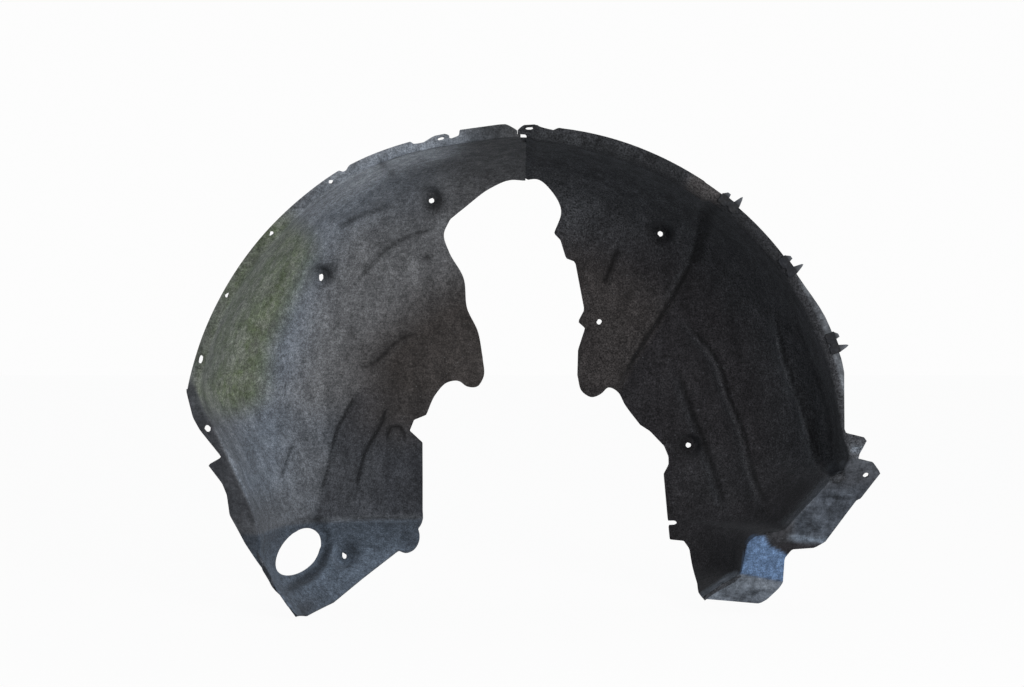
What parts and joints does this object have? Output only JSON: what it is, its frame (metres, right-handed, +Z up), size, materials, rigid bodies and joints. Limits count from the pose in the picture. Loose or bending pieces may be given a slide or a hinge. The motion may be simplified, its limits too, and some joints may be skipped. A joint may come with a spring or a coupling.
{
  "type": "wheel arch liner",
  "caption": "Felt wheel arch liner for a car: two moulded half shells lapped at the crown, with a duct hole, fixing holes and spring clips on the rear lip.",
  "frame": {"origin": "midway between the two holes of the inner wall, on the middle of the felt there", "axes": "+X to the rear of the car, +Y inboard along the wheel's axis, +Z up"},
  "size_m": [0.907, 0.2489, 0.644],
  "materials": {
    "front_felt": "matt, dusty",
    "rear_felt": "matt",
    "clip_plastic": "satin"
  },
  "bodies": {
    "root": {"front_liner": "front_felt", "rear_liner": "rear_felt", "edge_clip_upper": "clip_plastic", "edge_clip_middle": "clip_plastic", "edge_clip_lower": "clip_plastic"}
  },
  "joints": []
}
